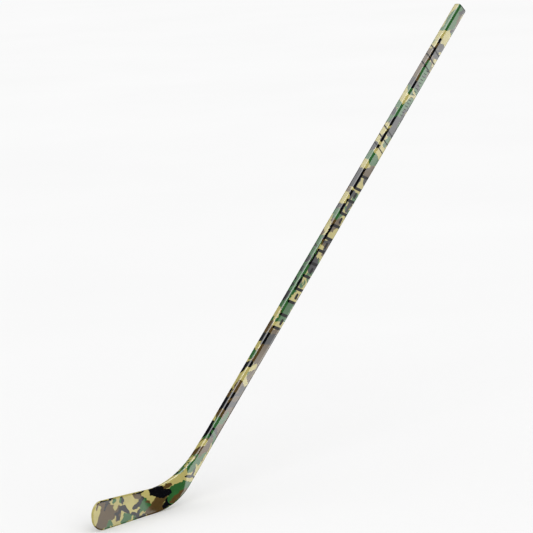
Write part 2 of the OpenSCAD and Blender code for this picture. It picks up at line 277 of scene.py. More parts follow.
# ------------------------------------------------------------------ rings round the sections
class Ring:
    """Points round a section: v = a * flat height + c * radius, w = b * flat depth + d * radius.
    The ring starts midway along the lower edge and runs up the forehand face. Both wide faces
    fall away very slightly towards their corners, by the crown."""

    def __init__(self, face_steps, edge_steps, corner_steps):
        rows = []

        def edge(side, start, end, steps):
            rows.extend((side, b, side, 0) for b in np.linspace(start, end, steps, endpoint=False))

        def face(side):
            rows.extend((side * a, side, 0, side)
                        for a in np.linspace(1, -1, face_steps, endpoint=False))

        def corner(a, b, start):
            for turn in np.linspace(0, math.pi / 2, corner_steps, endpoint=False):
                rows.append((a, b, math.cos(start + turn), math.sin(start + turn)))

        edge(-1, 0, -1, edge_steps // 2)
        corner(-1, -1, math.pi)
        face(-1)
        corner(1, -1, -math.pi / 2)
        edge(1, -1, 1, edge_steps)
        corner(1, 1, 0)
        face(1)
        corner(-1, 1, math.pi / 2)
        edge(-1, 1, 0, edge_steps // 2)
        self.a, self.b, self.c, self.d = np.array(rows).T
        on_face = (self.c == 0) & (np.abs(self.b) == 1)
        near_corner = np.clip((np.abs(self.a) - CROWN_START) / (1 - CROWN_START), 0, 1) ** 2
        self.crown = np.where(on_face, near_corner, self.d**2)
        self.size = len(rows)
        self.face_middle = edge_steps // 2 + corner_steps + face_steps // 2

    def trace(self, sections):
        """Returns the ring's world points, and its two places on the unrolled print."""
        radius = sections.corner[:, None]
        v = self.a * (sections.half_height[:, None] - radius) + self.c * radius
        w = self.b * (sections.half_thick[:, None] - radius) + self.d * radius
        w -= CROWN * np.sign(self.d) * self.crown * (radius / CORNER_RADIUS)
        lengths = np.hypot(np.roll(v, -1, 1) - v, np.roll(w, -1, 1) - w)
        travel = np.cumsum(lengths, 1) - lengths
        girth = lengths.sum(1, keepdims=True)
        p = travel - travel[:, self.face_middle, None]
        other = np.where(p > 0, p - girth, p + girth)
        return sections.place(v, w), sections.sheet(p), sections.sheet(other)


SHAFT_RING = Ring(face_steps=18, edge_steps=12, corner_steps=6)
BLADE_RING = Ring(face_steps=40, edge_steps=10, corner_steps=6)


def traced(ring, runs):
    """Joins the traces of several runs of sections into one (rings, points, coordinates) set."""
    parts = [ring.trace(run) for run in runs]
    return [np.concatenate([part[i] for part in parts]) for i in range(3)]


# ------------------------------------------------------------------ the camouflage print
# Each patch is a colour and a chain of round spots, and later patches lie over earlier ones.
# On the blade a spot is (distance towards the toe, height, radius).
BLADE_PATCHES = [
    ("sand", (-90, 60, 30), (-20, 45, 34), (60, 32, 36), (245, 32, 36)),
    # toe
    ("brown", (172, 38, 12), (190, 34, 17), (204, 40, 19), (214, 22, 17)),
    ("brown", (203, 50, 12), (216, 58, 7)),
    ("brown", (222, 16, 13), (236, 9, 7)),
    ("brown", (224, 60, 4), (230, 50, 2.5)),
    ("sand", (219, 51, 2), (226, 42, 5), (232, 33, 6), (238, 24, 5)),
    ("sand", (236, 50, 5)),
    ("black", (177, 60, 1.5), (186, 61, 2), (204, 62, 2.5), (216, 64, 2)),
    ("black", (197, 58, 3), (208, 44, 3)),
    ("black", (190, 56, 2), (197, 58, 2)),
    ("green", (188, 3, 5), (193, 13, 5), (201, 6, 6), (210, 2, 3)),
    # middle
    ("brown", (160, 36, 4), (166, 22, 6), (172, 14, 5)),
    ("green", (118, 2, 5), (128, 9, 6), (142, 12, 8), (156, 5, 7)),
    ("green", (137, 19, 4), (150, 18, 4)),
    ("sand", (157, 22, 3), (162, 12, 4), (168, 6, 5), (182, 3, 5)),
    ("sand", (167, 50, 5), (175, 42, 5)),
    ("green", (156, 50, 4), (158, 57, 3)),
    ("green", (174, 58, 4), (178, 55, 3)),
    ("black", (150, 34, 8), (160, 34, 7)),
    ("black", (152, 46, 3), (154, 57, 3)),
    ("black", (146, 30, 6), (136, 23, 4)),
    ("black", (163, 29, 4), (174, 26, 4), (178, 28, 2)),
    ("black", (173, 24, 3), (167, 13, 3)),
    ("green", (80, 34, 8), (92, 30, 11), (98, 20, 9)),
    ("green", (74, 22, 7), (88, 20, 9), (104, 16, 5)),
    ("brown", (100, 50, 7), (112, 52, 7), (120, 56, 3)),
    ("sand", (105, 22, 2.5), (128, 22, 5)),
    ("sand", (127, 51, 8)),
    ("sand", (136, 42, 9)),
    ("black", (88, 58, 2.5), (100, 57.5, 2), (108, 58, 1.5)),
    ("black", (91, 43, 3.5), (101, 39, 5), (108, 30, 5), (121, 28, 4)),
    ("sand", (76, 48, 10), (88, 51, 7)),
    ("sand", (76, 38, 7)),
    ("brown", (74, 30, 3), (81, 31, 3.5)),
    # bottom edge
    ("brown", (28, 32, 5), (46, 27, 13), (60, 16, 13), (78, 10, 8), (86, 7, 3)),
    ("brown", (36, 10, 8), (52, 8, 8), (66, 2, 8)),
    ("black", (90, 3, 4), (100, 4, 6), (112, 7, 6), (118, 4, 3)),
    ("black", (106, 18, 3), (111, 11, 5), (122, 14, 3.5), (130, 15, 2)),
    ("sand", (97, 11, 4), (103, 8, 3.5)),
    ("sand", (125, 9, 1.5), (129, 4, 2.5), (133, 0, 2.5)),
    # heel
    ("green", (-42, 48, 5), (-22, 46, 9), (-4, 42, 13), (8, 40, 12)),
    ("green", (-34, 34, 8), (-12, 22, 9), (8, 26, 12), (22, 20, 10)),
    ("brown", (10, 57, 4), (22, 56, 6), (30, 54, 4)),
    ("black", (34, 56, 4), (52, 57, 4), (68, 55, 4)),
    ("black", (19, 40, 7), (34, 42, 10), (50, 46, 11), (64, 50, 7)),
    ("brown", (-30, 37, 3), (-12, 29, 6), (6, 21, 5), (14, 18, 3)),
    ("black", (26, 25, 3), (29, 15, 7), (36, 10, 5)),
    ("black", (14, 10, 2.5), (24, 12, 5)),
    ("green", (22, 6, 2), (30, 4, 2.5)),
    # hosel
    ("green", (-82, 104, 8), (-66, 92, 11), (-48, 82, 10), (-40, 78, 5)),
    ("sand", (-74, 78, 6)),
    ("sand", (-65, 84, 4), (-63, 78, 4)),
    ("green", (-43, 99, 3), (-28, 90, 3)),
    ("green", (-32, 84, 3), (-23, 81, 4), (-13, 78, 2.5)),
    ("sand", (4, 62, 5)),
    ("black", (-57, 77, 2), (-50, 62, 4), (-57, 58, 4)),
    ("black", (-50, 62, 4), (-40, 64, 3), (-30, 67, 2)),
]

# On the shaft a spot is (height up the shaft, distance along the print from the middle of the
# forehand face, radius). The near corner lies at 11 to 17, and the toe-side face at 17 to 30.
SHAFT_PATCHES = [
    # forehand face, from the hosel up
    ("brown", (128, 3, 9), (175, 2, 9)),
    ("sand", (122, -14, 5), (143, -11, 5), (156, -13, 5), (163, -9, 4)),
    ("green", (118, -1, 5), (136, -4, 4)),
    ("brown", (195, -12, 6), (220, -8, 13), (262, -6, 13), (300, -4, 11), (350, -6, 11), (430, -5, 11)),
    ("green", (166, -13, 5), (180, -11, 6), (187, -1, 6), (190, 6, 5), (178, 9, 3)),
    ("green", (200, 9, 4), (222, 8, 5)),
    ("green", (219, 0, 4), (235, -2, 5), (247, -4, 4)),
    ("black", (180, 10, 4), (182, 2, 2.5), (182, -2, 1.5)),
    ("black", (196, 9, 4), (197, 2, 3.5), (194, -3, 2)),
    ("black", (256, 12, 6), (268, 3, 5), (273, -8, 6), (285, -12, 5)),
    ("black", (285, 10, 4), (295, 1, 3), (303, -7, 3)),
    ("black", (306, -2, 5), (316, -5, 8), (322, -13, 4)),
    ("brown", (326, 10, 4)),
    ("sand", (334, 6, 5), (331, -3, 6), (329, -6, 4)),
    ("sand", (336, 11, 6), (352, 9, 5), (362, 5, 4), (371, 1, 4), (378, -4, 4)),
    ("green", (349, 4.5, 2), (352, 4, 1)),
    ("sand", (355, -13, 3), (368, -14, 4)),
    ("black", (432, 9, 4), (440, 4, 4), (448, -5, 7), (458, -8, 9), (458, 6, 5)),
    ("brown", (462, 4, 3), (470, 2, 6), (474, -10, 6)),
    ("sand", (484, 11, 5), (485, 2, 5), (499, -11, 6), (501, -15, 5)),
    ("green", (500, 7, 7), (522, -15, 4)),
    ("green", (524, 4, 9), (545, 3, 9)),
    ("green", (536, -6, 7), (554, -8, 5)),
    ("sand", (533, -14, 2), (548, -13, 2)),
    ("brown", (570, -13, 5), (582, -13, 5)),
    ("green", (572, 10, 5), (583, 8, 5)),
    ("green", (600, 1, 6), (612, -2, 6)),
    ("sand", (604, 0, 2), (614, 2, 2)),
    ("sand", (596, -13, 3), (612, -13, 3)),
    ("black", (587, 12, 4)),
    ("green", (622, 12, 5), (652, 12, 4)),
    ("sand", (625, 7, 4), (636, -12, 3)),
    ("green", (620, -14, 3), (633, 0, 3), (641, -10, 4)),
    ("black", (646, 0, 7), (652, -8, 9)),
    ("black", (660, 12, 5), (692, 12, 5)),
    ("green", (672, -12, 3), (680, -8, 2)),
    ("sand", (679, 1, 2.5)),
    ("sand", (680, -13, 3), (692, -13, 3.5)),
    ("sand", (700, 10, 6)),
    ("brown", (701, -11, 6), (722, -12, 6), (716, 12, 3)),
    ("black", (708, -5, 4), (709, -13, 3)),
    ("black", (724, 3, 5), (733, -6, 8), (738, -12, 5)),
    ("black", (732, 12, 4), (764, 12, 4)),
    ("sand", (744, 4, 4)),
    ("brown", (758, 3, 4), (770, 2, 7), (782, -2, 8), (790, -3, 6)),
    ("brown", (772, 11, 4), (784, 11, 4)),
    ("sand", (754, -13, 3), (788, -13, 5), (800, -7, 6)),
    ("green", (788, 9, 5), (800, 7, 6), (806, 2, 4)),
    ("green", (812, -14, 4), (822, -12, 4), (824, 3, 4)),
    ("sand", (830, 5, 3)),
    ("black", (810, 12, 4), (846, 10, 5)),
    ("black", (822, -4, 5), (840, -4, 6)),
    ("green", (854, -8, 8), (868, -7, 8)),
    ("black", (850, 6, 4), (868, 4, 5)),
    ("black", (856, 12, 4), (868, 12, 3)),
    ("black", (882, 12, 5), (930, 12, 5)),
    ("black", (902, -13, 4), (910, -7, 6), (920, -12, 6)),
    ("brown", (925, 3, 7), (938, -5, 12), (950, -10, 8)),
    ("sand", (938, 12, 5), (948, 8, 6)),
    ("green", (958, 6, 6), (970, -4, 13), (976, 5, 8)),
    ("sand", (988, 8, 5), (988, -3, 5), (982, -13, 5), (1000, -8, 11), (1006, 4, 6)),
    ("black", (1000, 11, 4), (1004, 6, 3)),
    ("green", (1014, -3, 4), (1026, -4, 8), (1036, -5, 6)),
    ("black", (1022, 12, 5), (1060, 12, 5)),
    ("black", (1042, 2, 5), (1092, 0, 10)),
    ("black", (1068, 11, 4), (1086, 10, 4)),
    ("sand", (1060, 13, 2), (1065, 7, 1)),
    ("green", (1054, -14, 3), (1062, -14, 3)),
    ("green", (1080, -13, 4), (1086, -8, 3)),
    ("green", (1104, 3, 6), (1120, 8, 6), (1132, -2, 10), (1150, -6, 9), (1166, 6, 6)),
    ("black", (1104, -10, 6), (1118, -3, 6), (1126, -12, 4), (1142, -11, 3)),
    ("sand", (1134, 12, 5), (1152, 9, 5), (1160, 1, 4), (1167, -8, 3)),
    ("sand", (1175, -5, 2)),
    ("green", (1178, -13, 6), (1184, 2, 6), (1206, -4, 10), (1232, 2, 9), (1256, 3, 7)),
    ("black", (1182, 11, 4), (1192, 5, 6), (1190, -8, 5), (1200, 4, 3)),
    ("brown", (1204, 12, 3), (1216, 12, 3)),
    ("black", (1222, 3, 1.5), (1227, -8, 2)),
    ("brown", (1226, -12, 4), (1240, -11, 5), (1256, -9, 3), (1266, -3, 5), (1278, 3, 6)),
    ("sand", (1246, -12, 3), (1256, -14, 3)),
    ("sand", (1262, -8, 3), (1272, -13, 5), (1280, -13, 5)),
    ("black", (1288, 0, 7)),
    ("black", (1270, 12, 4), (1330, 11, 4)),
    ("sand", (1300, -8, 3), (1302, -14, 4)),
    ("brown", (1301, 3, 2), (1306, 2, 1.5)),
    ("brown", (1304, 11, 2.5), (1318, 11, 2)),
    ("sand", (1336, 12, 5), (1340, -2, 13), (1346, -12, 9), (1354, 4, 9)),
    ("green", (1364, 11, 6), (1378, 3, 12), (1432, 5, 12)),
    ("green", (1364, -13, 6), (1374, -4, 6)),
    ("black", (1363, -4, 2.5), (1372, -9, 4), (1382, -14, 5)),
    ("brown", (1388, -12, 4), (1402, -8, 5), (1418, -7, 5)),
    ("black", (1419, 2, 3), (1426, -6, 5), (1438, -10, 7)),
    # toe-side face
    ("brown", (132, 21, 7), (142, 21, 7)),
    ("green", (121, 15, 2), (123, 27, 2)),
    ("green", (112, 20, 1), (117, 26, 1.5)),
    ("green", (103, 17, 1.5), (109, 26, 1.5)),
    ("sand", (157, 22, 8), (163, 21, 8)),
    ("sand", (154, 13, 5), (160, 12, 5)),
    ("brown", (169, 18, 3), (169, 21, 2)),
    ("sand", (174, 25, 3), (178, 27, 3)),
    ("green", (174, 14, 4), (178, 17, 3)),
    ("black", (184, 22, 7), (194, 21, 8), (208, 24, 5)),
    ("black", (207, 17, 3), (213, 20, 3)),
    ("sand", (216, 18, 2), (222, 24, 4), (233, 28, 3)),
    ("green", (204, 18, 2.5), (212, 13, 3), (226, 16, 3)),
    ("brown", (232, 20, 5), (242, 22, 6)),
    ("black", (252, 22, 7), (275, 22, 8)),
    ("brown", (284, 22, 6), (292, 22, 6)),
    ("black", (298, 22, 4), (299, 24, 4)),
    ("brown", (306, 17, 3), (326, 17, 3)),
    ("sand", (308, 26, 4), (326, 23, 4), (340, 22, 6)),
    ("black", (344, 28, 2), (356, 23, 4), (370, 21, 7)),
    ("sand", (378, 25, 5), (384, 27, 4)),
    ("green", (386, 20, 5), (402, 21, 8)),
    ("brown", (411, 25, 3), (411, 28, 2)),
    ("sand", (420, 21, 7), (430, 25, 5)),
    ("black", (442, 21, 7), (450, 22, 7)),
    ("brown", (463, 22, 7), (484, 22, 7)),
    ("green", (494, 26, 5), (500, 27, 4)),
    ("sand", (504, 15, 4), (514, 20, 8), (526, 23, 6)),
    ("green", (536, 20, 7), (560, 17, 7), (600, 21, 8), (700, 21, 8), (732, 21, 7)),
    ("black", (552, 24, 4), (558, 20, 4), (568, 24, 4), (572, 20, 3)),
    ("black", (589, 25, 3), (594, 21, 3)),
    ("black", (607, 22, 2), (614, 26, 3)),
    ("black", (630, 19, 2), (636, 25, 3), (645, 27, 2)),
    ("black", (640, 17, 2.5), (644, 22, 2)),
    ("black", (660, 26, 3), (668, 19, 5), (674, 22, 5)),
    ("black", (701, 20, 2), (706, 26, 2.5)),
    ("brown", (742, 26, 5), (756, 27, 3)),
    ("sand", (741, 16, 3), (754, 20, 5), (768, 24, 6), (778, 27, 3)),
    ("brown", (779, 17, 4), (784, 22, 2)),
    ("green", (790, 18, 6), (806, 19, 7)),
    ("sand", (783, 27, 2.5), (794, 28, 2.5)),
    ("black", (814, 26, 4), (822, 20, 5), (826, 26, 4)),
    ("sand", (834, 18, 6), (848, 22, 8), (858, 26, 5), (850, 12, 4)),
    ("brown", (866, 18, 4), (874, 24, 5)),
    ("black", (884, 21, 7), (915, 21, 8), (930, 24, 6)),
    ("sand", (944, 18, 7), (954, 24, 6)),
    ("green", (964, 20, 7), (982, 21, 7)),
    ("black", (992, 21, 5), (1004, 20, 5), (1012, 27, 3)),
    ("sand", (1014, 18, 6), (1024, 24, 8), (1050, 21, 8), (1064, 22, 7)),
    ("green", (1076, 25, 5), (1088, 20, 5)),
    ("black", (1070, 19, 3), (1078, 17, 3)),
    ("black", (1098, 21, 6), (1112, 24, 5)),
    ("green", (1122, 18, 6), (1134, 25, 4)),
    ("sand", (1142, 20, 8), (1160, 21, 8), (1172, 26, 5)),
    ("green", (1174, 16, 4), (1184, 25, 4)),
    ("black", (1190, 20, 6), (1204, 22, 6)),
    ("brown", (1216, 21, 7), (1250, 21, 8), (1290, 21, 8)),
    ("sand", (1308, 18, 5), (1326, 21, 6), (1344, 22, 8), (1340, 15, 4)),
    ("green", (1316, 27, 2), (1322, 27, 2)),
    ("green", (1358, 24, 7), (1366, 18, 8), (1400, 19, 8), (1430, 15, 6)),
    ("sand", (1404, 28, 3), (1416, 26, 4), (1430, 23, 6), (1438, 22, 5)),
]

# Colours along the near corner of the shaft, and along the forehand face where one colour is wide,
# as (colour, start, end) in height up the shaft.
CORNER_RUNS = [
    ("green", 84, 112), ("brown", 116, 148), ("sand", 150, 165), ("brown", 166, 172),
    ("green", 172, 179), ("black", 180, 198), ("green", 200, 228), ("brown", 228, 245),
    ("black", 247, 264), ("brown", 266, 278), ("black", 280, 294), ("brown", 296, 328),
    ("sand", 330, 362), ("black", 365, 379), ("brown", 381, 427), ("black", 429, 461),
    ("brown", 463, 478), ("sand", 480, 488), ("green", 490, 514), ("black", 515, 550),
    ("black", 587, 620), ("green", 631, 655), ("brown", 716, 731), ("black", 732, 768),
    ("brown", 769, 780), ("green", 781, 804), ("black", 806, 846), ("black", 857, 870),
    ("sand", 871, 878), ("green", 957, 983), ("sand", 984, 996), ("black", 997, 1005),
    ("sand", 1006, 1018), ("black", 1067, 1087), ("green", 1088, 1127), ("sand", 1128, 1163),
    ("green", 1164, 1178), ("black", 1179, 1200), ("brown", 1201, 1213), ("green", 1214, 1242),
    ("black", 1243, 1249), ("green", 1250, 1265), ("brown", 1266, 1274), ("black", 1275, 1302),
    ("brown", 1303, 1320), ("green", 1358, 1460)]
FACE_RUNS = [("brown", 105, 340), ("brown", 380, 446), ("black", 444, 462), ("brown", 462, 478),
             ("green", 505, 552), ("black", 640, 676), ("brown", 925, 955), ("black", 1042, 1100),
             ("green", 1180, 1260), ("black", 1284, 1322)]

PRINT_COLOURS = ("green", "brown", "black")
FIELD_REACH = 10.0  # how far outside a patch or mark its field is worked out
TOE_SIDE_EDGE = 17  # patches beyond this run on round the shaft's far corner, by RUN_ON
LOWER_EDGE = -8  # patches below this run on round the shaft's lower corner, by RUN_ON
RUN_ON = 7.0
PATCH_SPREAD = 34.0  # width of hidden face that takes one scattered patch of each colour
SCATTER_RADIUS = {"green": 8, "brown": 7.5, "black": 5, "sand": 3.5}
WOBBLE_WAVES = ((34, 1.0), (21, 0.8), (13, 0.65), (8, 0.45), (5, 0.25))  # (length, size) of each


def shaft_spot(height, along_edge):
    """A place on the unrolled print beside the shaft."""
    return tuple(UP * height + ACROSS * (HALF_HOSEL + along_edge))


def runs(rows, edge, radius):
    """A straight chain of spots for each stretch of one colour."""
    patches = []
    for colour, start, end in rows:
        size = min(radius, (end - start) / 2 + 1.5)
        inset = min(0.6 * size, (end - start) / 2)
        spots = [(*shaft_spot(height, edge), size) for height in (start + inset, end - inset)]
        patches.append((colour, spots))
    return patches


def shaft_patch(colour, spots, move=0):
    return colour, [(*shaft_spot(height, edge + move), radius) for height, edge, radius in spots]


def authored_patches():
    """The patches above. Those beside a far corner of the shaft first run on round it."""
    patches = [(colour, [(-reach, height, radius) for reach, height, radius in spots])
               for colour, *spots in BLADE_PATCHES]
    for colour, *spots in SHAFT_PATCHES:
        edges = [edge for _, edge, _ in spots]
        if min(edges) >= TOE_SIDE_EDGE:
            patches.append(shaft_patch(colour, spots, RUN_ON))
        elif max(edges) <= LOWER_EDGE:
            patches.append(shaft_patch(colour, spots, -RUN_ON))
    return patches + [shaft_patch(colour, spots) for colour, *spots in SHAFT_PATCHES]


def scattered_patches(sections, step, rng):
    """Patches of all four colours, spread evenly over the backhand face and the heel side."""
    patches = []
    lengths = np.linalg.norm(np.diff(sections.middle, axis=0), axis=1)
    travel = np.concatenate([[0], np.cumsum(lengths)])
    # Along the print, the backhand face spans height + 2 thick to 3 height + 2 thick
    first_edges = sections.half_height + 2.3 * sections.half_thick
    last_edges = 3 * sections.half_height + 2.7 * sections.half_thick
    for start in np.arange(0, travel[-1], step):
        row = int(np.searchsorted(travel, start))
        repeats = max(1, round((last_edges[row] - first_edges[row]) / PATCH_SPREAD))
        for colour in tuple(SCATTER_RADIUS) * repeats:
            place = start + rng.uniform(-0.7, 0.7) * step
            row = int(np.clip(np.searchsorted(travel, place), 0, sections.count - 1))
            edge = rng.uniform(first_edges[row], last_edges[row])
            spot = sections.middle[row] + sections.along[row] * edge
            heading = rng.uniform(0, 2 * math.pi)
            spots = []
            for _ in range(rng.choice((2, 3, 3, 4))):
                size = SCATTER_RADIUS[colour] * rng.uniform(0.55, 1.2)
                spots.append((spot[0], spot[1], size))
                heading += rng.uniform(-1.1, 1.1)
                spot = spot + 1.9 * size * np.array([math.cos(heading), math.sin(heading)])
            patches.append((colour, spots))
    return patches


def wobble(places):
    """Bends the patches' outlines: a sum of waves of several lengths, the same at every run."""
    rng = random.Random(11)
    moved = places.copy()
    for length, size in WOBBLE_WAVES:
        for _ in range(3):
            turn, phase, push = (rng.uniform(0, 2 * math.pi) for _ in range(3))
            wave = np.sin(2 * math.pi / length * (places @ (math.cos(turn), math.sin(turn))) + phase)
            moved += size * wave[:, None] * (math.cos(push), math.sin(push))
    return moved


def patch_field(places, spots):
    """How far each place lies inside a patch, in mm. It is negative outside."""
    field = np.full(len(places), -FIELD_REACH)
    ends = spots[1:] or spots
    for (ax, ay, ar), (bx, by, br) in zip(spots, ends):
        span = np.array([bx - ax, by - ay])
        offset = places - (ax, ay)
        k = np.clip(offset @ span / max(span @ span, 1e-9), 0, 1)
        distance = np.linalg.norm(offset - k[:, None] * span, axis=1)
        field = np.maximum(field, mix(ar, br, k) - distance)
    return field


def near_spots(places, spots):
    reach = FIELD_REACH + max(spot[2] for spot in spots)
    xs, ys = [spot[0] for spot in spots], [spot[1] for spot in spots]
    inside = (places[:, 0] > min(xs) - reach) & (places[:, 0] < max(xs) + reach)
    return inside & (places[:, 1] > min(ys) - reach) & (places[:, 1] < max(ys) + reach)


def field_over(sheets, spots):
    """A patch's field at each point, on whichever side of the print's seam it lies deeper."""
    field = np.full(len(sheets[0]), -FIELD_REACH)
    for places in sheets:
        near = near_spots(places, spots)
        if near.any():
            field[near] = np.maximum(field[near], patch_field(places[near], spots))
    return field


def print_fields(sheets, patches, marks_and_rim_shade):
    """One field per printed colour. A later patch cuts the colours that would lie over it."""
    warped = [wobble(places) for places in sheets]
    fields = {colour: np.full(len(sheets[0]), -FIELD_REACH) for colour in PRINT_COLOURS}
    for colour, spots in patches:
        field = field_over(warped, spots)
        rank = PRINT_COLOURS.index(colour) if colour in PRINT_COLOURS else -1
        if rank >= 0:
            fields[colour] = np.maximum(fields[colour], field)
        for above in PRINT_COLOURS[rank + 1:]:
            fields[above] = np.minimum(fields[above], -field)
    # The marks' field, which also holds the painted shade line along the butt's rim
    fields["mark_and_rim_shade"] = np.full(len(sheets[0]), -FIELD_REACH)
    for spots in marks_and_rim_shade:
        fields["mark_and_rim_shade"] = np.maximum(fields["mark_and_rim_shade"], field_over(sheets, spots))
    return fields


def plain_marks_and_rim_shade():
    """Plain bars, blocks and ticks along the forehand face, thin stripes round a corner, and a line
    along the butt's rim, which is painted shade: the dark reflection of the rounded rim."""
    marks_and_rim_shade = []

    def bar(height, edge, other_height, other_edge, half_width):
        marks_and_rim_shade.append([(*shaft_spot(height, edge), half_width),
                      (*shaft_spot(other_height, other_edge), half_width)])

    for start in range(478, 880, 73):
        bar(start, 9, start + 9, -17, 3.6)
        bar(start + 36, 9, start + 45, -17, 3.6)
        bar(start + 17, -4, start + 27, -4, 3.4)
    bar(914, 9, 923, -17, 3.6)
    for start in range(1104, 1240, 9):
        bar(start, 2, start + 2.5, -6, 1.1)
    for first, half_width in ((996, 1.7), (1243, 1.9)):
        for start in (first, first + 25, first + 50):
            bar(start, -17, start + 4, 12, half_width)
            bar(start + 4, 12, start + 16, 31, half_width)
    # Painted shade: a dark line across the forehand face on the butt's rounded rim, where the rim reflects
    # no light
    bar(1437, -17, 1437, 12, 1.2)
    return marks_and_rim_shade


# ------------------------------------------------------------------ meshes
def make_object(name, points, faces, fields, material):
    """An object from points in mm, shaded smooth, with one attribute per printed colour."""
    mesh = bpy.data.meshes.new(name)
    mesh.from_pydata((np.asarray(points) * MM).tolist(), [], faces)
    for key, values in fields.items():
        attribute = mesh.attributes.new(key, "FLOAT", "POINT")
        attribute.data.foreach_set("value", np.asarray(values, np.float32))
    mesh.validate()
    mesh.polygons.foreach_set("use_smooth", [True] * len(mesh.polygons))
    mesh.set_sharp_from_angle(angle=SHARP_ANGLE)
    mesh.update()
    mesh.materials.append(material)
    made = bpy.data.objects.new(name, mesh)
    bpy.context.scene.collection.objects.link(made)
    return made


def tube_faces(rows, size, offset=0, flip=False):
    """Four-sided faces between neighbouring rings."""
    i, k = np.meshgrid(np.arange(rows - 1), np.arange(size), indexing="ij")
    a = offset + i * size + k
    b = offset + i * size + (k + 1) % size
    faces = np.stack([a, b, b + size, a + size], axis=-1).reshape(-1, 4)
    return (faces[:, ::-1] if flip else faces).tolist()


def rim_faces(outer, inner, size, flip=False):
    """Four-sided faces between two rings of one end, given the index of each ring's first point."""
    faces = []
    for k in range(size):
        n = (k + 1) % size
        face = [outer + n, outer + k, inner + k, inner + n]
        faces.append(face[::-1] if flip else face)
    return faces


def fan_faces(ring, centre, size, flip=False):
    faces = [[ring + k, ring + (k + 1) % size, centre] for k in range(size)]
    return [face[::-1] for face in faces] if flip else faces


def place_on(obj, body, node_names):
    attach(obj, body)
    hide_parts(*node_names)
    return obj


# ------------------------------------------------------------------ node helpers
class Graph:
    """The node tree of a material or a world, with short calls for adding and linking nodes."""

    def __init__(self, owner, shader="BsdfPrincipled", output="OutputMaterial"):
        self.owner = owner
        owner.use_nodes = True
        self.tree = owner.node_tree
        self.tree.nodes.clear()
        self.shader = self.add(shader)
        self.output = self.add(output, inputs={"Surface": self.shader.outputs[0]})

    def fill(self, node, inputs):
        """Sets or links each given input of a node."""
        for key, value in inputs.items():
            if isinstance(value, bpy.types.NodeSocket):
                self.tree.links.new(value, node.inputs[key])
            else:
                node.inputs[key].default_value = value
        return node

    def add(self, kind, settings=None, inputs=None):
        node = self.tree.nodes.new("ShaderNode" + kind)
        for key, value in (settings or {}).items():
            setattr(node, key, value)
        return self.fill(node, inputs or {})

    def set(self, **inputs):
        """Sets or links inputs of the shader, with _ for each space in a name."""
        self.fill(self.shader, {key.replace("_", " "): value for key, value in inputs.items()})

    def places(self, scale=(1, 1, 1), turn=(0, 0, 0)):
        """Object coordinates in metres, turned and then scaled."""
        coordinates = self.add("TexCoord")
        turned = self.add("Mapping", inputs={"Vector": coordinates.outputs["Object"], "Rotation": turn})
        return self.add("Mapping", inputs={"Vector": turned.outputs[0], "Scale": scale}).outputs[0]

    def noise(self, vector, scale, detail=3.0, roughness=0.55):
        settings = {"Vector": vector, "Scale": scale, "Detail": detail, "Roughness": roughness}
        return self.add("TexNoise", inputs=settings).outputs["Fac"]

    def cells(self, vector, scale):
        """Distances to the middles of packed round cells."""
        inputs = {"Vector": vector, "Scale": scale}
        return self.add("TexVoronoi", {"feature": "F1"}, inputs).outputs["Distance"]

    def spread(self, value, low, high, start=0.0, end=1.0):
        """Maps the range start to end of a value onto low to high."""
        inputs = {"Value": value, "From Min": start, "From Max": end, "To Min": low, "To Max": high}
        return self.add("MapRange", inputs=inputs).outputs["Result"]

    def times(self, first, second):
        return self.add("Math", {"operation": "MULTIPLY"}, {0: first, 1: second}).outputs[0]

    def blend(self, factor, first, second):
        """Mixes two colours."""
        inputs = {0: factor, 6: first, 7: second}
        return self.add("Mix", {"data_type": "RGBA"}, inputs).outputs[2]

    def tint(self, colour, value):
        """Multiplies a colour's brightness by a value."""
        inputs = {"Color": colour, "Value": value}
        return self.add("HueSaturation", inputs=inputs).outputs["Color"]

    def bump(self, height, distance, strength=1.0):
        inputs = {"Height": height, "Distance": distance, "Strength": strength}
        return self.add("Bump", inputs=inputs).outputs["Normal"]


def paint(red, green, blue):
    """A linear colour from 8-bit display values."""
    def linear(value):
        value /= 255
        return value / 12.92 if value <= 0.04045 else ((value + 0.055) / 1.055) ** 2.4

    return (linear(red), linear(green), linear(blue), 1)


# ------------------------------------------------------------------ materials
INKS = {
    "sand": paint(170, 160, 98),
    "green": paint(42, 89, 43),
    "brown": paint(78, 60, 30),
    "black": paint(7, 7, 11),
    # near-black of the plain marks, also used for the painted shade line along the butt's rim
    "mark_and_rim_shade": paint(6, 5, 6),
}
INK_EDGE = 0.25  # half the width, in mm, over which one ink turns into the next


def camo_material(name, coat_roughness):
    """The four-colour print under a gloss clear coat, read from the mesh's printed fields."""
    g = Graph(bpy.data.materials.new(name))
    places = g.places()
    soft = g.noise(places, 45.0)
    grain = g.noise(places, 1400.0, detail=2.0)
    colour = g.tint(INKS["sand"], g.spread(soft, 0.9, 1.1, 0.3, 0.7))
    # The print colours, then the marks, whose field also holds the painted rim shade line
    for key in (*PRINT_COLOURS, "mark_and_rim_shade"):
        field = g.add("Attribute", {"attribute_name": key}).outputs["Fac"]
        mask = g.spread(field, 0, 1, -INK_EDGE, INK_EDGE)
        ink = g.tint(INKS[key], g.spread(soft, 1.12, 0.88, 0.3, 0.7))
        colour = g.blend(mask, colour, ink)
    # The coat is thinner towards the toe, and thinner again over the marks and the painted rim shade line
    along = g.add("SeparateXYZ", inputs={"Vector": places}).outputs["X"]
    worn = g.spread(along, 0.5, 1.0, -0.08, 0.02)
    g.set(Coat_Weight=g.times(g.spread(mask, 1.0, 0.45), worn))
    colour = g.tint(colour, g.spread(grain, 0.93, 1.07, 0.3, 0.7))
    peel = g.noise(places, 260.0, detail=1.0)
    scratches = g.noise(g.places(scale=(900, 60, 900), turn=(0, SHAFT_ANGLE, 0)), 1.0, detail=1.0)
    g.set(Base_Color=colour, Roughness=0.5, Specular_IOR_Level=0.0, Coat_IOR=1.5)
    g.set(Coat_Roughness=g.spread(scratches, coat_roughness, coat_roughness + 0.05, 0.45, 0.75))
    g.set(Coat_Normal=g.bump(peel, 0.00004, 0.6))
    return g.owner


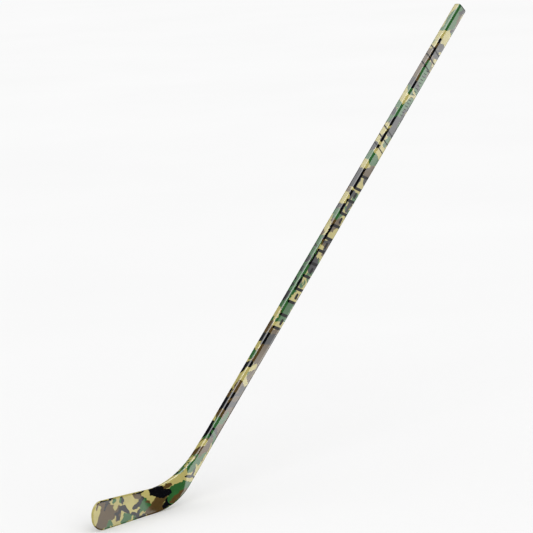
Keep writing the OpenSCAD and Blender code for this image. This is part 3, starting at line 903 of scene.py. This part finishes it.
def twill_material():
    """Carbon wrap: two sets of crossing tows under epoxy."""
    g = Graph(bpy.data.materials.new("carbon_twill"))
    turn = (0, SHAFT_ANGLE, 0)
    tows = [g.add("TexWave", {"bands_direction": axis, "wave_profile": "SAW"},
                  {"Vector": g.places(turn=turn), "Scale": 130.0, "Distortion": 0.3}).outputs["Fac"]
            for axis in ("X", "Z")]
    step = g.add("Math", {"operation": "SUBTRACT"}, {0: tows[0], 1: tows[1]}).outputs[0]
    over = g.spread(step, 0, 1, -0.05, 0.05)
    fibres = g.noise(g.places(scale=(4000, 4000, 300), turn=turn), 1.0, detail=2.0)
    colour = g.blend(over, paint(26, 27, 30), paint(52, 54, 58))
    colour = g.tint(colour, g.spread(fibres, 0.7, 1.3))
    g.set(Base_Color=colour, Roughness=g.spread(over, 0.32, 0.5), Metallic=0.15, Coat_Weight=0.4)
    g.set(Normal=g.bump(step, 0.00015, 0.4))
    return g.owner


def ply_material():
    """Carbon plies with all their fibres along the stick."""
    g = Graph(bpy.data.materials.new("carbon_ply"))
    turn = (0, SHAFT_ANGLE, 0)
    fibres = g.noise(g.places(scale=(40, 2600, 2600), turn=turn), 1.0, detail=4.0)
    bundles = g.noise(g.places(scale=(12, 420, 420), turn=turn), 1.0, detail=2.0)
    colour = g.blend(g.spread(fibres, 0, 1, 0.3, 0.7), paint(30, 30, 33), paint(66, 67, 71))
    g.set(Base_Color=g.tint(colour, g.spread(bundles, 0.75, 1.25, 0.3, 0.7)), Roughness=0.42)
    g.set(Normal=g.bump(fibres, 0.0001, 0.5))
    return g.owner


def moulding_material():
    """Chopped carbon moulding: short flat chips lying every way."""
    g = Graph(bpy.data.materials.new("chopped_carbon"))
    settings = {"feature": "F1", "distance": "MINKOWSKI"}
    chips = g.add("TexVoronoi", settings, {"Vector": g.places(scale=(1, 3, 1)), "Scale": 160.0})
    shade = g.add("SeparateColor", inputs={"Color": chips.outputs["Color"]}).outputs[0]
    speck = g.noise(g.places(), 2200.0)
    colour = g.blend(shade, paint(30, 30, 32), paint(74, 72, 70))
    g.set(Base_Color=g.tint(colour, g.spread(speck, 0.8, 1.2)), Roughness=g.spread(shade, 0.35, 0.6))
    g.set(Normal=g.bump(chips.outputs["Distance"], 0.0002, 0.4))
    return g.owner


def foam_material(name, light, dark, cell_scale):
    """Closed-cell foam: packed round cells with darker walls' shadows."""
    g = Graph(bpy.data.materials.new(name))
    places = g.places()
    cells = g.cells(places, cell_scale)
    drift = g.noise(places, 30.0)
    colour = g.blend(g.spread(cells, 1, 0, 0.0, 0.55), light, dark)
    g.set(Base_Color=g.tint(colour, g.spread(drift, 0.92, 1.08, 0.3, 0.7)), Roughness=0.9)
    g.set(Normal=g.bump(cells, 0.0004, 0.6))
    return g.owner


def adhesive_material():
    """Amber epoxy, cloudy in places, with a few bubbles."""
    g = Graph(bpy.data.materials.new("amber_adhesive"))
    places = g.places()
    cloud = g.noise(places, 90.0, detail=4.0)
    bubbles = g.cells(places, 700.0)
    colour = g.blend(g.spread(cloud, 0, 1, 0.3, 0.7), paint(196, 150, 70), paint(228, 200, 130))
    g.set(Base_Color=g.blend(g.spread(bubbles, 1, 0, 0.05, 0.2), colour, paint(244, 228, 180)))
    g.set(Roughness=0.2, Coat_Weight=0.5)
    g.set(Normal=g.bump(cloud, 0.0003, 0.4))
    return g.owner


SLOT_MATERIALS = {
    "camo_film": camo_material("gloss_camo_print", 0.05),
    "camo_grip": camo_material("ribbed_camo_print", 0.12),
    "camo_cap": camo_material("camo_cap_print", 0.06),
    "carbon_wrap": twill_material(),
    "carbon_ply": ply_material(),
    "carbon_moulding": moulding_material(),
    "foam": foam_material("cream_foam", paint(232, 224, 196), paint(178, 164, 124), 900.0),
    "dense_foam": foam_material("tan_dense_foam", paint(198, 184, 150), paint(140, 124, 92), 1500.0),
    "adhesive": adhesive_material(),
}


def finish_inner_pieces():
    """The layers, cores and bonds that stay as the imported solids."""
    for part in frame["record"]["subparts"]:
        node = frame["nodes"][part["node"]]
        node.data.materials.clear()
        node.data.materials.append(SLOT_MATERIALS[part["material_slot"]])


# ------------------------------------------------------------------ pieces
def all_patches():
    """Every patch, from the lowest: scattered ones, a sand ground, colour runs, and placed ones."""
    rng = random.Random(23)
    shaft = shaft_sections(np.arange(TUBE_BASE, BUTT_END, 4.0), 0)
    patches = scattered_patches(shaft, step=20.0, rng=rng)
    for sections in blade_run(0):
        patches += scattered_patches(sections, step=15.0, rng=rng)
    ground = [(*shaft_spot(height, 8), 23) for height in (60, 1500)]
    patches.append(("sand", ground))
    patches += runs(FACE_RUNS, edge=-4, radius=13) + runs(CORNER_RUNS, edge=12, radius=5)
    return patches + authored_patches()


PATCHES = all_patches()
MARKS_AND_RIM_SHADE = plain_marks_and_rim_shade()


def flat(values):
    return values.reshape(-1, values.shape[-1])


def fields_for(sheets):
    return print_fields([flat(sheet) for sheet in sheets], PATCHES, MARKS_AND_RIM_SHADE)


def joined_fields(*groups):
    return {key: np.concatenate([group[key] for group in groups]) for key in groups[0]}


def plain_fields(count, colour=None):
    """Fields of an unprinted stretch, or of one plain colour."""
    fields = {key: np.full(count, -FIELD_REACH) for key in (*PRINT_COLOURS, "mark_and_rim_shade")}
    if colour:
        fields[colour] = np.full(count, FIELD_REACH)
    return fields


def shaft_film():
    """The film round the shaft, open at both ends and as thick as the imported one."""
    outer_rings, inner_rings = 625, 40
    outer_sections = shaft_sections(np.linspace(TUBE_BASE, BUTT_SEAT, outer_rings), 0)
    inner_sections = shaft_sections(np.linspace(TUBE_BASE, BUTT_SEAT, inner_rings), FILM)
    outer, sheet, other = SHAFT_RING.trace(outer_sections)
    inner = SHAFT_RING.trace(inner_sections)[0]
    size = SHAFT_RING.size
    inner_start = outer_rings * size
    faces = tube_faces(outer_rings, size, flip=True)
    faces += tube_faces(inner_rings, size, inner_start)
    faces += rim_faces(0, inner_start, size, flip=True)
    faces += rim_faces(inner_start - size, inner_start + (inner_rings - 1) * size, size)
    fields = joined_fields(fields_for([sheet, other]), plain_fields(inner_rings * size))
    points = np.concatenate([flat(outer), flat(inner)])
    return make_object("camo_shaft_skin", points, faces, fields, SLOT_MATERIALS["camo_film"])


def blade_film():
    """The film round the hosel and blade, closed at the toe."""
    size = BLADE_RING.size
    shells = [traced(BLADE_RING, blade_run(depth)) for depth in (0, FILM)]
    points, faces, fields = [], [], []
    start = 0
    for (rings, sheet, other), flip in zip(shells, (False, True)):
        count = len(rings)
        tip = rings[-1].mean(0, keepdims=True)
        points += [flat(rings), tip]
        faces += tube_faces(count, size, start, flip)
        faces += fan_faces(start + (count - 1) * size, start + count * size, size, flip)
        tip_sheets = [sheet[-1:].mean(1, keepdims=True)] * 2
        fields += [fields_for([sheet, other]), fields_for(tip_sheets)]
        start += count * size + 1
    faces += rim_faces(0, start // 2, size)
    return make_object("camo_blade_skin", np.concatenate(points), faces, joined_fields(*fields),
                       SLOT_MATERIALS["camo_film"])


def end_cap():
    """The rounded butt cap: a printed lid with a soft rim, and a plain hollow tongue below it."""
    lid_base = BUTT_SEAT + SLIDE_GAP
    turns = np.linspace(0, math.pi / 2, 13)
    side = np.linspace(lid_base, BUTT_END - LID_RADIUS, 4)[:-1]
    heights = np.concatenate([side, BUTT_END - LID_RADIUS * (1 - np.sin(turns))])
    inset = np.concatenate([np.zeros(len(side)), LID_RADIUS * (1 - np.cos(turns))])
    rim, rim_sheet, rim_other = SHAFT_RING.trace(
        shaft_sections(heights, inset, np.maximum(CORNER_RADIUS - inset / 2, 1)))
    tongue_depth = BORE_DEPTH + SLIDE_GAP
    tongue_heights = np.linspace(lid_base, TONGUE_END, 25)
    tongue = SHAFT_RING.trace(shaft_sections(tongue_heights, tongue_depth))[0]
    bore = SHAFT_RING.trace(shaft_sections(tongue_heights[::-1], tongue_depth + TONGUE_WALL, 1))[0]
    centre = rim[-1].mean(0)
    shrink = np.array([0.97, 0.9, 0.75, 0.6, 0.4, 0.2])[:, None, None]
    top = centre + (rim[-1] - centre) * shrink
    size = SHAFT_RING.size
    rings = np.concatenate([bore[::-1], tongue[::-1], rim, top])
    count = len(rings)
    points = np.concatenate([flat(rings), [centre], [bore[-1].mean(0)]])
    faces = tube_faces(count, size, flip=True)
    faces += fan_faces((count - 1) * size, count * size, size, flip=True)
    faces += fan_faces(0, count * size + 1, size)
    top_offset = (top - rim[-1]).reshape(-1, 3)
    run_on = np.linalg.norm(top_offset, axis=1, keepdims=True)
    top_sheet = np.tile(rim_sheet[-1], (len(top), 1)) + run_on * UP
    fields = joined_fields(
        plain_fields((len(bore) + len(tongue)) * size, "black"),
        fields_for([rim_sheet, rim_other]),
        fields_for([top_sheet, top_sheet]),
        fields_for([top_sheet[-1:]] * 2),
        plain_fields(1, "black"))
    return make_object("butt_end_cap", points, faces, fields, SLOT_MATERIALS["camo_cap"])


def rib_sheet(name, side):
    """Fine slanted ribs standing on a narrow face: side 1 is the toe side, -1 the heel side."""
    row_pitch, steps = 0.6, 14
    edge_width, end_length = 1.2, 4.0
    heights = np.arange(GRIP_START, GRIP_END, row_pitch)
    rows = len(heights)
    size = steps + 1
    sections = shaft_sections(heights, 0)
    half, corner = sections.half_height[:, None], sections.corner[:, None]
    s, w = np.meshgrid(heights, np.linspace(-GRIP_WIDTH / 2, GRIP_WIDTH / 2, size), indexing="ij")
    travel = s * math.cos(RIB_SLANT) + w * math.sin(RIB_SLANT)
    ridge = (0.5 + 0.5 * np.cos(2 * math.pi * travel / RIB_PITCH)) ** 1.5
    edge_fade = np.clip((GRIP_WIDTH / 2 - np.abs(w)) / edge_width, 0, 1)
    end_fade = np.clip(np.minimum(s - GRIP_START, GRIP_END - s) / end_length, 0, 1)
    rise = RIB_BASE + RIB_HEIGHT * ridge * np.sqrt(edge_fade) * end_fade
    top = sections.place(side * (half + rise), w)
    bottom = sections.place(side * np.tile(half, 2), w[:, [0, -1]])
    faces = []
    for i in range(rows - 1):
        a, b = i * size, (i + 1) * size
        low_a = rows * size + 2 * i
        low_b = low_a + 2
        faces += [[a + k, a + k + 1, b + k + 1, b + k] for k in range(steps)]
        faces += [[a, b, low_b, low_a], [b + steps, a + steps, low_a + 1, low_b + 1],
                  [low_a, low_b, low_b + 1, low_a + 1]]
    first_low, last_low = rows * size, rows * size + 2 * (rows - 1)
    faces.append([first_low, first_low + 1, *range(steps, -1, -1)])
    faces.append([last_low + 1, last_low, *range((rows - 1) * size, rows * size)])
    if side > 0:
        faces = [face[::-1] for face in faces]
    flat_depth = sections.half_thick[:, None] - corner
    p = side * (half - corner + corner * math.pi / 2 + w + flat_depth)
    girth = 4 * (half - corner + flat_depth) + 2 * math.pi * corner
    fields = joined_fields(fields_for([sections.sheet(p), sections.sheet(p - side * girth)]),
                           plain_fields(2 * rows))
    points = np.concatenate([flat(top), flat(bottom)])
    return make_object(name, points, faces, fields, SLOT_MATERIALS["camo_grip"])


finish_inner_pieces()
place_on(shaft_film(), "stick", ["shaft_camo_film"])
place_on(blade_film(), "stick", ["blade_camo_film"])
place_on(end_cap(), "end_cap", ["butt_cap"])
place_on(rib_sheet("toe_side_ribs", 1), "stick", ["toe_side_grip_texture"])
place_on(rib_sheet("heel_side_ribs", -1), "stick", ["heel_side_grip_texture"])


# ------------------------------------------------------------------ floor, lights and camera, in metres
FLOOR_REACH = 40.0
CAMERA_AIM = Vector((-0.0403, 0.0333, -0.0311))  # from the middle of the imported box
CAMERA_ANGLES = (-42.715, 9.895, 3.107)  # azimuth, elevation and roll, in degrees
CAMERA_DISTANCE = 5.4024
CAMERA_LENS = 158.7  # in millimetres


def stage_plane(name, corners, material):
    mesh = bpy.data.meshes.new(name)
    mesh.from_pydata(corners, [], [(0, 1, 2, 3)])
    layer = mesh.uv_layers.new(name="across_card")
    for loop, place in zip(layer.data, ((0, 0), (1, 0), (1, 1), (0, 1))):
        loop.uv = place
    mesh.materials.append(material)
    plane = bpy.data.objects.new(name, mesh)
    bpy.context.scene.collection.objects.link(plane)
    return plane


def floor():
    g = Graph(bpy.data.materials.new("white_floor"))
    clouds = g.noise(g.places(), 0.7)
    g.set(Base_Color=g.blend(clouds, (0.9, 0.9, 0.9, 1), (0.94, 0.94, 0.94, 1)), Roughness=0.9)
    g.set(Specular_IOR_Level=0.0)
    clear = g.add("BsdfTransparent").outputs[0]
    behind = g.add("NewGeometry").outputs["Backfacing"]
    mixed = g.add("MixShader", inputs={0: behind, 1: g.shader.outputs[0], 2: clear})
    g.fill(g.output, {"Surface": mixed.outputs[0]})
    corners = [(FLOOR_REACH * x, FLOOR_REACH * y, 0) for x, y in ((-1, -1), (1, -1), (1, 1), (-1, 1))]
    plane = stage_plane("studio_floor", corners, g.owner)
    plane.visible_glossy = False


def reflection_card(name, corners, strength, levels, soft_sides=0.12):
    """A card that only glossy surfaces see. Its light follows levels from its bottom to its top."""
    g = Graph(bpy.data.materials.new(name), "Emission")
    place = g.add("SeparateXYZ", inputs={"Vector": g.add("TexCoord").outputs["UV"]}).outputs
    ramp = g.add("ValToRGB", inputs={"Fac": place["Y"]})
    while len(ramp.color_ramp.elements) < len(levels):
        ramp.color_ramp.elements.new(1)
    for element, (position, level) in zip(ramp.color_ramp.elements, levels):
        element.position = position
        element.color = (level, level, level, 1)
    fold = g.add("Math", {"operation": "PINGPONG"}, {0: place["X"], 1: 0.5}).outputs[0]
    inputs = {"Value": fold, "From Max": soft_sides}
    sides = g.add("MapRange", {"interpolation_type": "SMOOTHSTEP"}, inputs).outputs["Result"]
    g.set(Strength=g.times(g.times(ramp.outputs["Color"], sides), strength))
    g.owner.cycles.emission_sampling = "NONE"
    card = stage_plane(name, corners, g.owner)
    for ray in ("camera", "diffuse", "shadow", "transmission", "volume_scatter"):
        setattr(card, "visible_" + ray, False)


def reflection_cards():
    """Cards to the right, overhead and behind, which draw the pale sheen along the faces."""
    def right(u, z):
        return (1.5 + 0.72 * u, -1.07 + 0.69 * u, z)

    corners = [right(-0.66, -0.6), right(0.35, -0.6), right(1.4, 1.15), right(0.5, 1.15)]
    levels = [(0, 0.5), (0.1, 0.75), (0.16, 0.8), (0.21, 1.02), (0.27, 0.97), (0.325, 0.48), (0.4, 0.34),
              (0.52, 0.36), (0.61, 0.45), (0.66, 0.8), (0.74, 0.92), (0.84, 0.85), (0.88, 0.68), (1, 0.5)]
    reflection_card("card_right", corners, 6.0, levels, soft_sides=0.05)
    top = 2.2
    corners = [(-1.3, -1.3, top), (1.2, -0.5, top), (1.2, 1.9, top), (-1.3, 1.9, top)]
    levels = [(0, 0), (0.09, 1.1), (0.55, 1), (0.68, 0.38), (0.8, 0.44), (0.87, 0.48), (0.94, 0.34), (1, 0)]
    reflection_card("card_above", corners, 8.0, levels)
    corners = [(1.6, 2.0, -0.3), (-1.0, 2.0, -0.3), (-1.0, 2.0, 0.75), (1.6, 2.0, 0.75)]
    reflection_card("card_behind", corners, 3.0, [(0, 0.2), (0.4, 1), (0.8, 0.5), (1, 0)])


def soft_sky():
    """An even studio: white to the camera, soft to surfaces, and dim in the clear coat."""
    world = bpy.data.worlds.new("studio")
    bpy.context.scene.world = world
    g = Graph(world, "Background", "OutputWorld")
    rays = g.add("LightPath").outputs
    level = 1.0
    for ray, ray_level in (("Is Glossy Ray", 0.05), ("Is Camera Ray", 1.05)):
        level = g.add("Mix", inputs={0: rays[ray], 2: level, 3: ray_level}).outputs[0]
    g.set(Strength=level)


def soft_sun():
    """One broad light from above the camera's left shoulder."""
    light = bpy.data.lights.new("soft_key", "SUN")
    light.energy = 1.1
    light.angle = math.radians(70)
    lamp = bpy.data.objects.new("soft_key", light)
    lamp.rotation_euler = Vector((0.35, 0.65, -0.68)).to_track_quat("-Z", "Y").to_euler()
    lamp.visible_glossy = False
    bpy.context.scene.collection.objects.link(lamp)


def camera():
    """A long lens, level with the photographer's chest, tilted a little to the side."""
    aim = (Vector(cad_box[0]) + Vector(cad_box[1])) / 2 + CAMERA_AIM
    azimuth, elevation, roll = (math.radians(angle) for angle in CAMERA_ANGLES)
    back = Vector((math.sin(azimuth) * math.cos(elevation), -math.cos(azimuth) * math.cos(elevation),
                   math.sin(elevation)))
    right = Vector((0, 0, 1)).cross(back).normalized()
    upward = back.cross(right)
    tilt = Matrix.Rotation(-roll, 3, back)
    right, upward = tilt @ right, tilt @ upward
    data = bpy.data.cameras.new("photo_view")
    data.sensor_width = 36
    data.lens = CAMERA_LENS
    data.clip_end = 100
    view = bpy.data.objects.new("photo_view", data)
    view.matrix_world = Matrix((right, upward, back)).transposed().to_4x4()
    view.matrix_world.translation = aim + CAMERA_DISTANCE * back
    bpy.context.scene.collection.objects.link(view)
    bpy.context.scene.camera = view


floor()
reflection_cards()
soft_sky()
soft_sun()
camera()
bpy.context.scene.view_settings.view_transform = "Standard"
